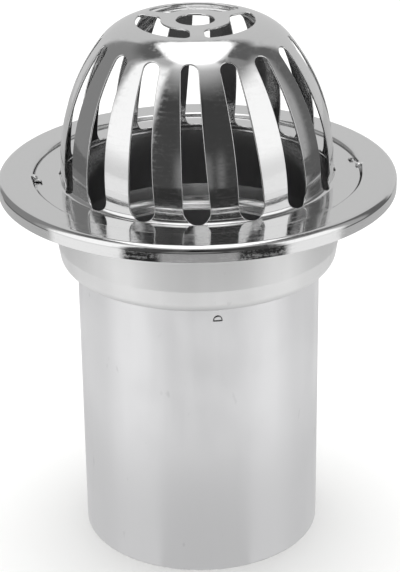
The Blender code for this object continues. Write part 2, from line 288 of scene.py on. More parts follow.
class Shell:
    """Patches of one closed surface, gathered as arrays and welded where they meet.

    A sheet in it has a thickness, and its trimmed edges are rounded.
    """

    def __init__(self, thickness=0.0, edge=0.0):
        self.thickness = thickness
        self.edge = edge
        self.patches = []
        self.total = 0

    def patch(self, points, normals, closed=False, flip=False, finish=0, marks=0.0):
        """Add a grid of points whose columns run to the right of its rows, seen from outside."""
        rows, columns = points.shape[:2]
        grid = np.arange(rows * columns).reshape(rows, columns) + self.total
        if closed:
            grid = np.hstack([grid, grid[:, :1]])
        corners = [grid[:-1, :-1], grid[:-1, 1:], grid[1:, 1:], grid[1:, :-1]]
        quads = np.stack(corners, axis=-1).reshape(-1, 4)
        quads = quads[:, ::-1] if flip else quads
        marks = np.broadcast_to(marks, (rows, columns)).reshape(-1)
        finishes = np.full(len(quads), finish)
        self.patches.append((points.reshape(-1, 3), normals.reshape(-1, 3), marks, quads, finishes))
        self.total += rows * columns

    def back(self, points, normals, closed=False, finish=0):
        """Add the far face of a sheet: the seen one moved back along its normals."""
        self.patch(points - self.thickness * normals, -normals, closed, flip=True, finish=finish)

    def sheet(self, points, normals, closed=False):
        """Add both faces of a sheet."""
        self.patch(points, normals, closed)
        self.back(points, normals, closed)

    def ends(self, points, normals):
        """Close the first and last row of a sheet that runs all round."""
        self.rim(points[0, ::-1], normals[0, ::-1])
        self.rim(points[-1], normals[-1])

    def rim(self, points, normals):
        """Close a sheet along a loop that runs counter-clockwise round the void beside it.

        The section is a quarter circle, a straight wall and a quarter circle. With a the angle
        turned, the first is N cos a + V sin a and the last V cos a - N sin a, where N is the
        sheet's normal and V = N x T points into the void from the loop's tangent T.
        """
        ahead = np.roll(points, -1, axis=0) - points
        ahead = ahead / np.linalg.norm(ahead, axis=1, keepdims=True)
        side = np.cross(normals, ahead + np.roll(ahead, 1, axis=0))
        side = side / np.linalg.norm(side, axis=1, keepdims=True)
        bend = spaced(0.0, math.pi / 2.0, EDGE_STEPS)
        out = np.concatenate([np.sin(bend), np.cos(bend)])[:, None, None]
        up = np.concatenate([np.cos(bend), -np.sin(bend)])[:, None, None]
        centre = np.repeat([self.edge, self.thickness - self.edge], len(bend))[:, None, None]
        places = points + self.edge * out * side + (self.edge * up - centre) * normals
        self.patch(places, out * side + up * normals, closed=True)

    def mesh(self, name):
        """The welded mesh, with the surface's own normals and the attribute of its marks, which is painted
        shade on the pipe's punch line and glow on the stage.
        """
        points, normals, marks, quads, finishes = map(np.concatenate, zip(*self.patches))
        keys = np.round(points / WELD).astype(np.int64)
        _, first, back = np.unique(keys, axis=0, return_index=True, return_inverse=True)
        faces = back.reshape(-1)[quads]
        mesh = bpy.data.meshes.new(name)
        mesh.from_pydata(points[first].tolist(), [], faces.tolist())
        mesh.polygons.foreach_set("use_smooth", np.ones(len(faces), dtype=bool))
        mesh.polygons.foreach_set("material_index", finishes)
        attribute = mesh.attributes.new("mark", "FLOAT", "POINT")
        attribute.data.foreach_set("value", marks[first].astype(np.float32))
        mesh.normals_split_custom_set_from_vertices(normals[first].tolist())
        return mesh


def add_object(shell, name, materials):
    """Link a shell's mesh as an object at the origin."""
    mesh = shell.mesh(name)
    for material in materials:
        mesh.materials.append(material)
    item = bpy.data.objects.new(name, mesh)
    bpy.context.scene.collection.objects.link(item)
    return item


def place_piece(shell, name, materials, body, node):
    """Add a finished piece and tie it to the frame."""
    piece = add_object(shell, name, materials)
    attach(piece, body)
    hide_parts(node)


def dome_profile(sizes):
    """The strainer's outer side, from the disc's edge over the foot and dome to the hole.

    The side arc leaves the foot wall straight up and meets the shoulder arc without a kink.
    """
    height = DOME_HIGH[2] - DOME_LOW[2] - sizes.sheet
    dome_radius = sizes.disc_radius - sizes.disc_brim
    across = dome_radius - sizes.crown_radius - sizes.shoulder_radius
    rise = height - sizes.foot_fillet - sizes.foot_wall - sizes.shoulder_radius
    side_angle = 2.0 * math.atan2(across, rise)
    side_radius = sizes.shoulder_radius + rise / math.sin(side_angle)
    moves = [
        (sizes.disc_brim - sizes.foot_fillet,),
        (sizes.foot_fillet, -math.pi / 2.0),
        (sizes.foot_wall,),
        (side_radius, side_angle),
        (sizes.shoulder_radius, math.pi / 2.0 - side_angle),
        (sizes.crown_radius - sizes.hole_radius,),
    ]
    return draw_profile((sizes.disc_radius, 0.0), math.pi, moves)


class DomeLayout:
    """Arc lengths along the dome's profile where its zones meet, and the columns' azimuths."""

    JOIN_MARGIN = 0.0020
    NOTCH_STEPS = 28
    CORNER_STEPS = 10
    SPOKE_STEPS = 8
    DISC_STEPS = 5
    FOOT_STEPS = 4
    BAR_STEPS = 56
    SHOULDER_STEPS = 14
    CROWN_STEPS = 8
    # Places of the foot fillet and the crown among the stretches of dome_profile
    FILLET, CROWN = 1, 5

    def __init__(self, sizes):
        self.sizes = sizes
        self.path = dome_profile(sizes)
        self.base = DOME_LOW[2] + sizes.sheet
        self.disc_end = self.path[self.FILLET, 0]
        self.crown_start = self.path[self.CROWN, 0]
        fillet_turn = math.acos(1.0 - sizes.slot_foot_rise / sizes.foot_fillet)
        self.slot_foot = self.disc_end + sizes.foot_fillet * fillet_turn - sizes.edge
        shoulder_turn = math.acos(1.0 - sizes.slot_top_drop / sizes.shoulder_radius)
        self.slot_top = self.crown_start - sizes.shoulder_radius * shoulder_turn + sizes.edge
        self.join_radius = sizes.kidney_outer + self.JOIN_MARGIN
        self.join = self.along_of(self.join_radius)
        self.pitch = math.tau / COLUMNS
        leaned = math.floor(-sizes.slot_lean / self.pitch)
        self.join_shift = self.pitch * leaned + sizes.spoke_azimuth % self.pitch

    def along_of(self, radius):
        """Arc length of the crown or shoulder at a radius: the shoulder's angle is asin(x / R)."""
        flat = self.sizes.crown_radius
        beyond = np.clip(radius - flat, 0.0, None)
        arc = self.sizes.shoulder_radius * np.arcsin(beyond / self.sizes.shoulder_radius)
        return self.crown_start - arc + flat - np.minimum(radius, flat)

    def lean(self, along):
        """How far the columns are turned: evenly along the slots, then on to the join ring."""
        knots = [self.slot_foot, self.slot_top, self.join]
        return np.interp(along, knots, [0.0, -self.sizes.slot_lean, self.join_shift])

    def surface(self, along, azimuth):
        return turned(self.path, along, azimuth, self.base)

    def ring(self, along):
        """Full rings of columns at arc lengths, where no slot is cut."""
        columns = self.pitch * np.arange(COLUMNS)
        return self.surface(along[:, None], self.lean(along)[:, None] + columns)

    def crown(self, radius, azimuth):
        return self.surface(self.along_of(radius), azimuth)


def disc_rim(layout):
    """Radius and azimuth of the disc's edge, one point for each column, with the notches.

    Between two notches the azimuth grows evenly. A notch is a path of straight runs and
    quarter circles, unrolled on the rim: azimuth = middle + x / R, radius = R + y.
    """
    sizes = layout.sizes
    radius = sizes.disc_radius - sizes.edge
    mouth = sizes.notch_mouth - sizes.edge
    corner = sizes.notch_corner + sizes.edge
    quarter = math.pi / 2.0
    wall = sizes.notch_depth - mouth - corner
    moves = [
        (mouth, -quarter),
        (wall,),
        (corner, quarter),
        (sizes.notch_width + 2.0 * sizes.edge - 2.0 * corner,),
        (corner, quarter),
        (wall,),
        (mouth, -quarter),
    ]
    notch = draw_profile((0.0, 0.0), 0.0, moves)
    steps = layout.NOTCH_STEPS
    across, down, _ = follow(notch, spaced(0.0, notch[-1, 0], steps))
    half = across[-1] / 2.0
    radii = []
    azimuths = []
    plain_steps = COLUMNS // sizes.notch_count - steps
    gap = math.tau / sizes.notch_count - 2.0 * half / radius
    for index in range(sizes.notch_count):
        middle = sizes.notch_azimuth + math.tau * index / sizes.notch_count
        plain = spaced(0.0, gap, plain_steps)[1:-1]
        radii += [radius + down, np.full(len(plain), radius)]
        azimuths += [middle + (across - half) / radius, middle + half / radius + plain]
    first = round(sizes.notch_azimuth / layout.pitch) - steps // 2
    return np.roll(np.concatenate(radii), first), np.roll(np.concatenate(azimuths), first)


def add_disc(shell, layout):
    """The flat disc: straight lines from the notched edge to the ring where the foot begins."""
    radius, azimuth = disc_rim(layout)
    edge = polar(radius, azimuth, layout.base)
    foot, _ = layout.ring(np.array([layout.disc_end]))
    share = spaced(0.0, 1.0, layout.DISC_STEPS)[:, None, None]
    points = edge + (foot - edge) * share
    normals = np.broadcast_to([0.0, 0.0, 1.0], points.shape)
    shell.sheet(points, normals, closed=True)
    shell.rim(edge[::-1], normals[0])


def add_slotted_zone(shell, layout):
    """Foot, bars and shoulder.

    A bar's columns are spread over the angle that its two slots leave: azimuth = middle +
    g (half pitch - asin(w / r)), where g runs from -1 to 1 and w is half the slot's width.
    """
    sizes = layout.sizes
    foot = layout.ring(spaced(layout.disc_end, layout.slot_foot, layout.FOOT_STEPS))
    shell.sheet(*foot, closed=True)
    along = crowded(layout.slot_foot, layout.slot_top, layout.BAR_STEPS)
    share = (along - layout.slot_foot) / (layout.slot_top - layout.slot_foot)
    foot_half = sizes.slot_foot_width / 2.0 + sizes.edge
    top_half = sizes.slot_top_width / 2.0 + sizes.edge
    half = foot_half + (top_half - foot_half) * share
    half = half - drawn_in(along - layout.slot_foot, foot_half)
    half = np.clip(half - drawn_in(layout.slot_top - along, top_half), 0.0, None)
    half[[0, -1]] = 0.0
    radius, _, _ = follow(layout.path, along)
    half_pitch = math.pi / sizes.slot_count
    reach = half_pitch - np.arcsin(half / radius)
    spread = np.linspace(-1.0, 1.0, COLUMNS // sizes.slot_count + 1)
    bars = []
    for index in range(sizes.slot_count):
        middle = half_pitch * (2 * index + 1) + layout.lean(along)
        bar = layout.surface(along[:, None], middle[:, None] + reach[:, None] * spread)
        shell.sheet(*bar)
        bars.append(bar)
    for index, (points, normals) in enumerate(bars):
        last_points, last_normals = bars[index - 1]
        loop = np.concatenate([points[:, 0], last_points[-2:0:-1, -1]])
        loop_normals = np.concatenate([normals[:, 0], last_normals[-2:0:-1, -1]])
        shell.rim(loop, loop_normals)
    shoulder = layout.ring(spaced(layout.slot_top, layout.join, layout.SHOULDER_STEPS))
    shell.sheet(*shoulder, closed=True)


def kidney_border(layout, radius, sign):
    """Radius and azimuth along the outer or inner border of all kidneys and spokes.

    The border of one sector is the spoke's width at a fixed radius, a rounded corner, an arc
    and a rounded corner. A corner of radius c turned by a is c sin a out and c (1 - cos a)
    sideways, and a side at distance x from the spoke's middle line has azimuth asin(x / r).
    """
    sizes = layout.sizes
    corner = sizes.kidney_corner + sizes.edge
    half = sizes.spoke_width / 2.0 - sizes.edge
    start = radius - sign * corner
    spoke = np.linspace(-half, half, layout.SPOKE_STEPS + 1)
    spoke_azimuth = np.arcsin(spoke / start)
    turn = spaced(0.0, math.pi / 2.0, layout.CORNER_STEPS)[1:]
    corner_radius = start + sign * corner * np.sin(turn)
    corner_azimuth = np.arcsin((half + corner * (1.0 - np.cos(turn))) / corner_radius)
    sector = math.tau / sizes.spoke_count
    arc_steps = COLUMNS // sizes.spoke_count - layout.SPOKE_STEPS - 2 * layout.CORNER_STEPS
    arc = spaced(corner_azimuth[-1], sector - corner_azimuth[-1], arc_steps)[1:-1]
    far_corner = sector - corner_azimuth[::-1]
    one_azimuth = np.concatenate([spoke_azimuth, corner_azimuth, arc, far_corner])
    ends = [np.full(len(spoke), start), corner_radius, np.full(len(arc), radius), corner_radius[::-1]]
    turns = sizes.spoke_azimuth + sector * np.arange(sizes.spoke_count)
    azimuth = (turns[:, None] + one_azimuth).reshape(-1)
    return np.tile(np.concatenate(ends), sizes.spoke_count), azimuth


def add_crown(shell, layout):
    """The crown: a ring outside the kidneys, three spokes, and a hub with the centre hole.

    A patch between two borders is their straight blend in radius and azimuth.
    """
    sizes = layout.sizes
    outer_radius, outer_azimuth = kidney_border(layout, sizes.kidney_outer + sizes.edge, 1.0)
    inner_radius, inner_azimuth = kidney_border(layout, sizes.kidney_inner - sizes.edge, -1.0)
    first = sizes.spoke_azimuth - layout.SPOKE_STEPS // 2 * layout.pitch
    even = first + layout.pitch * np.arange(COLUMNS)
    share = spaced(0.0, 1.0, layout.CROWN_STEPS)[:, None]
    radius = layout.join_radius + (outer_radius - layout.join_radius) * share
    ring = layout.crown(radius, even + (outer_azimuth - even) * share)
    hole = sizes.hole_radius + sizes.edge
    radius = inner_radius + (hole - inner_radius) * share
    hub = layout.crown(radius, inner_azimuth + (even - inner_azimuth) * share)
    shell.sheet(*ring, closed=True)
    shell.sheet(*hub, closed=True)
    shell.rim(hub[0][-1], hub[1][-1])

    half = sizes.spoke_width / 2.0 - sizes.edge
    rows = spaced(outer_radius[0], inner_radius[0], layout.CROWN_STEPS)[:, None]
    width = np.linspace(-half, half, layout.SPOKE_STEPS + 1)
    sector = math.tau / sizes.spoke_count
    spokes = []
    for index in range(sizes.spoke_count):
        azimuth = sizes.spoke_azimuth + sector * index + np.arcsin(width / rows)
        spokes.append(layout.crown(rows, azimuth))
        shell.sheet(*spokes[-1])
    sector_columns = COLUMNS // sizes.spoke_count
    for index in range(sizes.spoke_count):
        columns = np.arange(layout.SPOKE_STEPS, sector_columns + 1) + sector_columns * index
        columns = columns % COLUMNS
        near, far = spokes[index], spokes[(index + 1) % sizes.spoke_count]
        loops = []
        for part in (0, 1):
            far_side = far[part][1:-1, 0]
            near_side = near[part][-2:0:-1, -1]
            pieces = [ring[part][-1, columns], far_side, hub[part][0, columns[::-1]], near_side]
            loops.append(np.concatenate(pieces))
        shell.rim(*loops)


class DRAIN_OT_strainer_dome(bpy.types.Operator):
    """Model the slotted strainer dome as one pressed sheet"""

    bl_idname = "drain.strainer_dome"
    bl_label = "Strainer Dome"

    def execute(self, context):
        layout = DomeLayout(context.scene.drain_strainer)
        shell = Shell(layout.sizes.sheet, layout.sizes.edge)
        add_disc(shell, layout)
        add_slotted_zone(shell, layout)
        add_crown(shell, layout)
        materials = [polished_stainless(context.scene.drain_steel)]
        place_piece(shell, "dome", materials, "strainer", "strainer_dome")
        return {"FINISHED"}


def bowl_profile(sizes):
    """The seen side of flange and bowl, from the lip's lower edge to the hole in the floor."""
    quarter = math.pi / 2.0
    depth = BOWL_HIGH[2] - BOWL_LOW[2]
    seat_width = sizes.recess_radius - sizes.bowl_radius
    seat_depth = sizes.recess_bend + sizes.recess_fillet
    wall_run = depth - sizes.crease_rise - seat_depth - sizes.seat_bend
    crease_drop = sizes.crease_bend * math.sin(sizes.crease_angle)
    corner_drop = sizes.bowl_corner * (1.0 - math.sin(sizes.crease_angle))
    taper_drop = sizes.crease_rise - sizes.sheet - crease_drop - corner_drop
    brim = sizes.flange_radius - sizes.recess_radius
    moves = [
        (sizes.lip_depth - sizes.lip_bend - sizes.edge,),
        (sizes.lip_bend, quarter),
        (brim - sizes.lip_bend - sizes.recess_bend,),
        (sizes.recess_bend, quarter),
        (sizes.recess_fillet, -quarter),
        (seat_width + sizes.sheet - sizes.recess_fillet - sizes.seat_bend,),
        (sizes.seat_bend, quarter),
        (wall_run,),
        (sizes.crease_bend, -sizes.crease_angle),
        (taper_drop / math.cos(sizes.crease_angle),),
        (sizes.bowl_corner, sizes.crease_angle - quarter),
    ]
    start = (sizes.flange_radius, sizes.edge - sizes.lip_depth)
    path = draw_profile(start, quarter, moves)
    moves.append((path[-1, 1] - sizes.floor_hole - sizes.edge,))
    return draw_profile(start, quarter, moves)


def profile_rows(path, steps):
    """Arc lengths with the given number of steps in each stretch of a path."""
    parts = [spaced(path[index, 0], path[index + 1, 0], step)[:-1] for index, step in enumerate(steps)]
    return np.concatenate([*parts, path[-1:, 0]])


def nubbed(points, sizes):
    """Push the recess wall inwards at the nubs.

    A nub is a half ellipsoid with a flat underside. Its inner face has radius
    m - a sqrt(1 - (x / w)^2 - (z / d)^2), and the wall takes the smaller of that radius and its
    own, blended as a smooth minimum.
    """
    radius, azimuth = cylindrical(points)
    rise = points[..., 2] - BOWL_HIGH[2] + sizes.nub_depth
    half_length = (sizes.nub_reach + sizes.nub_root) / 2.0
    middle = sizes.recess_radius - sizes.nub_reach + half_length
    lift = np.where(rise > 0.0, rise / sizes.nub_depth, -rise / (sizes.nub_blend / 2.0))
    for index in range(sizes.nub_count):
        turn = from_middle(azimuth, sizes.nub_azimuth + math.tau * index / sizes.nub_count)
        inside = 1.0 - (radius * turn / sizes.nub_half_width) ** 2 - lift ** 2
        near = (inside > 0.0) & (radius > middle - half_length) & (radius < middle + half_length)
        face = middle - half_length * np.sqrt(np.clip(inside, 0.0, None))
        blend = np.clip(0.5 + (radius - face) / (2.0 * sizes.nub_blend), 0.0, 1.0)
        soft = radius + (face - radius) * blend - sizes.nub_blend * blend * (1.0 - blend)
        radius = np.where(near & (soft < radius), soft, radius)
    return polar(radius, azimuth, points[..., 2])


def reshaped(path, along, azimuth, base, change):
    """Points and normals of a turned surface after a change that moves some of its points.

    Where a point moves, its normal is the cross product of two small steps on the new surface.
    """
    def place(along, azimuth):
        return change(turned(path, along, azimuth, base)[0])

    points, normals = turned(path, along, azimuth, base)
    moved = change(points)
    across = place(along, azimuth + PROBE) - place(along, azimuth - PROBE)
    up = place(along + PROBE, azimuth) - place(along - PROBE, azimuth)
    probed = np.cross(across, up)
    probed = probed / np.linalg.norm(probed, axis=-1, keepdims=True)
    same = np.abs(moved - points).max(axis=-1, keepdims=True) < WELD
    return moved, np.where(same, normals, probed)


def from_middle(azimuth, middle):
    """Angles from a middle azimuth, between minus and plus half a turn."""
    return (azimuth - middle + math.pi) % math.tau - math.pi


def crowded_columns(number, middles, reach, inner, clear=1.2):
    """Even azimuths round the axis, with closer ones within reach of each middle.

    The even ones stay clear of a middle by a share more than the reach.
    """
    even = math.tau / number * np.arange(number)
    parts = []
    for middle in middles:
        even = even[np.abs(from_middle(even, middle)) > reach * clear]
        parts.append((middle + reach * np.linspace(-1.0, 1.0, inner)) % math.tau)
    return np.sort(np.concatenate([even, *parts]))


class DRAIN_OT_flange_bowl(bpy.types.Operator):
    """Model the flange, recess and bowl as one drawn sheet"""

    bl_idname = "drain.flange_bowl"
    bl_label = "Flange and Bowl"

    # Steps in each stretch of bowl_profile, and the place of the seat among them
    STEPS = (2, 10, 4, 22, 8, 4, 8, 8, 4, 3, 10, 2)
    SEAT = 5
    # Even columns, closer ones at a nub, and how many half widths of a nub these reach
    EVEN_COLUMNS = 180
    NUB_COLUMNS = 27
    NUB_REACH = 1.4

    def execute(self, context):
        sizes = context.scene.drain_bowl
        path = bowl_profile(sizes)
        along = profile_rows(path, self.STEPS)[:, None]
        middles = sizes.nub_azimuth + math.tau / sizes.nub_count * np.arange(sizes.nub_count)
        reach = self.NUB_REACH * sizes.nub_half_width / sizes.recess_radius
        azimuth = crowded_columns(self.EVEN_COLUMNS, middles, reach, self.NUB_COLUMNS)
        top = BOWL_HIGH[2]
        points, normals = turned(path, along, azimuth, top)
        shell = Shell(sizes.sheet, sizes.edge)
        seen, seen_normals = reshaped(path, along, azimuth, top, lambda places: nubbed(places, sizes))
        seat = np.searchsorted(along[:, 0], path[self.SEAT, 0])
        shell.patch(seen[:seat + 1], seen_normals[:seat + 1], closed=True)
        shell.patch(seen[seat:], seen_normals[seat:], closed=True, finish=1)
        shell.back(points, normals, closed=True, finish=2)
        shell.ends(points, normals)
        steel = context.scene.drain_steel
        materials = [polished_stainless(steel), drawn_stainless(steel), pickled_stainless(steel)]
        place_piece(shell, "flange_and_bowl", materials, "drain_body", "flange_bowl")
        return {"FINISHED"}


def punched(points, sizes):
    """The pipe's points with the weld along the tube raised and the punch mark sunk.

    The weld is a low hump, rise (1 - (x / w)^2)^2, which fades at the trimmed ends. The mark is
    a half ring: its line follows half an ellipse and the flat side below it, and is sunk by
    depth (1 - (d / b)^2)^2, where d is the distance from the line.
    """
    radius, azimuth = cylindrical(points)
    off_weld = radius * from_middle(azimuth, sizes.weld_azimuth) / sizes.weld_half_width
    from_end = np.minimum(points[..., 2] - PIPE_LOW[2], PIPE_HIGH[2] - points[..., 2]) - sizes.edge
    fade = np.clip(from_end / sizes.weld_half_width, 0.0, 1.0)
    hump = sizes.weld_rise * fade * np.clip(1.0 - off_weld ** 2, 0.0, None) ** 2
    sunk = sizes.punch_depth * punch_line(points, sizes)
    return polar(radius + hump - sunk, azimuth, points[..., 2])


def punch_line(points, sizes):
    """How much a point lies on the line of the punch mark, from 0 beside it to 1 on it."""
    _, azimuth = cylindrical(points)
    across = sizes.radius * from_middle(azimuth, sizes.punch_azimuth)
    up = points[..., 2] - sizes.punch_height
    stretched = np.hypot(across / sizes.punch_half_width, up / sizes.punch_rise)
    off_arc = np.abs(stretched - 1.0) * sizes.punch_half_width + np.clip(-up, 0.0, None)
    off_flat = np.hypot(np.clip(np.abs(across) - sizes.punch_half_width, 0.0, None), up)
    off_line = np.minimum(off_arc, off_flat) / sizes.punch_line
    return np.clip(1.0 - off_line ** 2, 0.0, None) ** 2


class DRAIN_OT_outlet_pipe(bpy.types.Operator):
    """Model the outlet pipe as a rolled tube"""

    bl_idname = "drain.outlet_pipe"
    bl_label = "Outlet Pipe"

    # Even rows and columns, closer ones at a mark, and how many half widths of it these reach
    EVEN_ROWS = 60
    EVEN_COLUMNS = 240
    MARK_LINES = 41
    MARK_REACH = 1.5

    def execute(self, context):
        sizes = context.scene.drain_pipe
        low, high = PIPE_LOW[2] + sizes.edge, PIPE_HIGH[2] - sizes.edge
        path = draw_profile((sizes.radius, low), math.pi / 2.0, [(high - low,)])
        reach = self.MARK_REACH * sizes.punch_half_width
        middle = sizes.punch_height + sizes.punch_rise / 2.0 - low
        close = middle + reach * np.linspace(-1.0, 1.0, self.MARK_LINES)
        along = np.union1d(spaced(0.0, high - low, self.EVEN_ROWS), close)[:, None]
        middles = (sizes.punch_azimuth, sizes.weld_azimuth)
        azimuth = crowded_columns(self.EVEN_COLUMNS, middles, reach / sizes.radius, self.MARK_LINES)
        points, normals = reshaped(path, along, azimuth, 0.0, lambda places: punched(places, sizes))
        shell = Shell(sizes.wall, sizes.edge)
        # The punch mark's line is sunk, and its marks darken it with painted shade in the groove
        shell.patch(points, normals, closed=True, marks=punch_line(points, sizes))
        shell.back(*turned(path, along, azimuth, 0.0), closed=True)
        shell.ends(points, normals)
        materials = [tube_stainless(context.scene.drain_steel)]
        place_piece(shell, "pipe", materials, "drain_body", "outlet_pipe")
        return {"FINISHED"}


# The steel's patterns: patches to the metre, the range that a noise or a product of two fills,
# depths and the spacing of the rings in metres, and the ring pattern's patches round the axis
WAVES, SCUFFS = 60.0, 900.0
STREAKS, CLOUDS, GRAIN, SMUDGES = 130.0, 45.0, 1600.0, 260.0
HAZE_RANGE, SATIN_RANGE, SMUDGE_RANGE = (0.17, 0.36), (0.1, 0.4), (0.74, 0.84)
RING_DEPTH, GRAIN_DEPTH = 0.0000012, 0.00001
RING_SPACING = 0.0005
RING_PATCHES = 7.0
# How dark a smudge is, and the scales that draw streaks and smudges out upright
SMUDGE_SHADE = 0.16
STREAK_SCALE, SMUDGE_SCALE = (1.0, 1.0, 0.08), (1.0, 1.0, 0.45)


def add_node(tree, kind, inputs=None, **settings):
    """Add a shader node, set its own settings, and set or link its inputs.

    An input that is itself a node is linked from that node's first output.
    """
    node = tree.nodes.new("ShaderNode" + kind)
    for name, value in settings.items():
        setattr(node, name, value)
    for key, value in (inputs or {}).items():
        if isinstance(value, bpy.types.Node):
            value = value.outputs[0]
        if isinstance(value, bpy.types.NodeSocket):
            tree.links.new(value, node.inputs[key])
        else:
            node.inputs[key].default_value = value
    return node


def new_material(name):
    material = bpy.data.materials.new(name)
    material.use_nodes = True
    material.node_tree.nodes.clear()
    return material, material.node_tree


def finished(material, kind, inputs):
    """The material, with its shader added to the nodes that feed it."""
    shader = add_node(material.node_tree, kind, inputs)
    add_node(material.node_tree, "OutputMaterial", {"Surface": shader})
    return material


def ranged(value, span, low, high):
    """Inputs that spread a value over a span of its range from low to high."""
    return {"Value": value, "From Min": span[0], "From Max": span[1], "To Min": low, "To Max": high}


def ring_coordinates(tree):
    """Object coordinates that follow the piece's rings.

    The unit vector from the axis times a number of patches, and height plus radius over the
    line spacing: long along a ring, short across it, and with no seam.
    """
    place = add_node(tree, "TexCoord").outputs["Object"]
    parts = add_node(tree, "SeparateXYZ", {0: place}).outputs
    level = add_node(tree, "CombineXYZ", {"X": parts["X"], "Y": parts["Y"]})
    radius = add_node(tree, "VectorMath", {0: level}, operation="LENGTH").outputs["Value"]
    away = add_node(tree, "VectorMath", {0: level}, operation="NORMALIZE")
    around = add_node(tree, "VectorMath", {0: away, "Scale": RING_PATCHES}, operation="SCALE")
    across = add_node(tree, "Math", {0: radius, 1: parts["Z"]}, operation="ADD")
    lines = add_node(tree, "Math", {0: across, 1: 1.0 / RING_SPACING}, operation="MULTIPLY")
    rise = add_node(tree, "CombineXYZ", {"Z": lines})
    return add_node(tree, "VectorMath", {0: around, 1: rise}, operation="ADD")


def buffed(name, look, least, most, wave_depth):
    """A mirror hazed by the polishing wheel's rings, from a least to a most roughness.

    Real polishing lines are under 0.1 mm apart. They are drawn 0.5 mm apart so that they show.
    The slow waves of 12 to 20 mm are what drawing and pressing leave in such thin sheet.
    """
    if name in bpy.data.materials:
        return bpy.data.materials[name]
    material, tree = new_material(name)
    place = add_node(tree, "TexCoord").outputs["Object"]
    rings = add_node(tree, "TexNoise", {"Vector": ring_coordinates(tree), "Scale": 1.0, "Detail": 1.0})
    waves = add_node(tree, "TexNoise", {"Vector": place, "Scale": WAVES, "Detail": 1.0})
    scuffs = add_node(tree, "TexNoise", {"Vector": place, "Scale": SCUFFS, "Detail": 3.0})
    waved = add_node(tree, "Bump", {"Height": waves, "Strength": 1.0, "Distance": wave_depth})
    lined = add_node(tree, "Bump", {
        "Height": rings, "Strength": 1.0, "Distance": RING_DEPTH, "Normal": waved,
    })
    haze = add_node(tree, "Math", {0: rings, 1: scuffs}, operation="MULTIPLY")
    return finished(material, "BsdfPrincipled", {
        "Base Color": (*look.polished, 1.0),
        "Metallic": 1.0,
        "Roughness": add_node(tree, "MapRange", ranged(haze, HAZE_RANGE, least, most)),
        "Normal": lined,
    })


def polished_stainless(look):
    """Buffed 304 stainless sheet: a clear mirror with a slight haze."""
    rough = look.polished_roughness
    return buffed("buffed_304_stainless", look, least=0.6 * rough, most=2.4 * rough, wave_depth=0.00012)


def drawn_stainless(look):
    """Drawn 304 stainless, left as the press made it: a blurred mirror, drawn out along its rings."""
    rough = look.drawn_roughness
    return buffed("deep_drawn_304_stainless", look, least=0.8 * rough, most=1.2 * rough, wave_depth=0.00003)


def satin(name, look, shade, roughness):
    """Rolled and pickled sheet: an even, fine satin that blurs what it mirrors.

    Its grain runs upright. The smudges, 1 to 2 mm wide, are handling marks. The line of a punch mark is
    darkened with painted shade, which stands in for the shade in its groove.
    """
    material, tree = new_material(name)
    place = add_node(tree, "TexCoord").outputs["Object"]
    upright = add_node(tree, "Mapping", {"Vector": place, "Scale": STREAK_SCALE})
    streaks = add_node(tree, "TexNoise", {"Vector": upright, "Scale": STREAKS, "Detail": 3.0})
    cloud = add_node(tree, "TexNoise", {"Vector": place, "Scale": CLOUDS, "Detail": 3.0})
    grain = add_node(tree, "TexNoise", {"Vector": place, "Scale": GRAIN, "Detail": 2.0})
    dabs = add_node(tree, "Mapping", {"Vector": place, "Scale": SMUDGE_SCALE})
    smears = add_node(tree, "TexNoise", {"Vector": dabs, "Scale": SMUDGES, "Detail": 1.0})
    smudges = add_node(tree, "MapRange", ranged(smears, SMUDGE_RANGE, 0.0, SMUDGE_SHADE))
    # The mark attribute is painted shade along the punch mark's groove; the smudges are handling marks
    mark = add_node(tree, "Attribute", attribute_name="mark").outputs["Fac"]
    dark = add_node(tree, "Math", {0: smudges, 1: mark}, operation="MAXIMUM")
    # A colour Mix has its colours at sockets 6 and 7 and its result at 2
    colours = {0: dark, 6: (*shade, 1.0), 7: (*look.grime, 1.0)}
    shades = add_node(tree, "Mix", colours, data_type="RGBA").outputs[2]
    mixed = add_node(tree, "Math", {0: streaks, 1: cloud}, operation="MULTIPLY")
    uneven = ranged(mixed, SATIN_RANGE, low=0.85 * roughness, high=1.2 * roughness)
    return finished(material, "BsdfPrincipled", {
        "Base Color": shades,
        "Metallic": 1.0,
        "Roughness": add_node(tree, "MapRange", uneven),
        "Normal": add_node(tree, "Bump", {"Height": grain, "Strength": 1.0, "Distance": GRAIN_DEPTH}),
    })


def pickled_stainless(look):
    """Pickled 304 stainless sheet: pale and matt, with the drawn shape's soft shading."""
    return satin("pickled_304_stainless", look, look.sheet, look.sheet_roughness)


def tube_stainless(look):
    """Cold-rolled 304 tube: a finer satin that still shows the soft boxes as upright bands."""
    return satin("rolled_304_stainless_tube", look, look.tube, look.tube_roughness)


def soft_glow(name):
    """Diffuser cloth lit from behind, as bright as the mesh's attribute says."""
    material, tree = new_material(name)
    glow = add_node(tree, "Attribute", attribute_name="mark").outputs["Fac"]
    return finished(material, "Emission", {"Strength": glow})


def floor_paper(look):
    """White background paper: matt, with no grain that shows."""
    material, _ = new_material("white_background_paper")
    paper = {"Base Color": (*look.floor, 1.0), "Roughness": 0.9, "Specular IOR Level": 0.1}
    return finished(material, "BsdfPrincipled", paper)


def ramp(value):
    """From 0 below -1/2 to 1 above 1/2, by the smooth step t^2 (3 - 2 t)."""
    share = np.clip(value + 0.5, 0.0, 1.0)
    return share ** 2 * (3.0 - 2.0 * share)


def window(value, first, last, soft):
    """1 between first and last and 0 outside, with a ramp of width soft centred on each."""
    return ramp((value - first) / soft) * ramp((last - value) / soft)


def sector(azimuth, first, last, soft):
    """A window of azimuth, in degrees, which may run over the half turn."""
    off = np.degrees(from_middle(azimuth, math.radians((first + last) / 2.0)))
    half = (last - first) / 2.0
    return window(off, -half, half, soft)


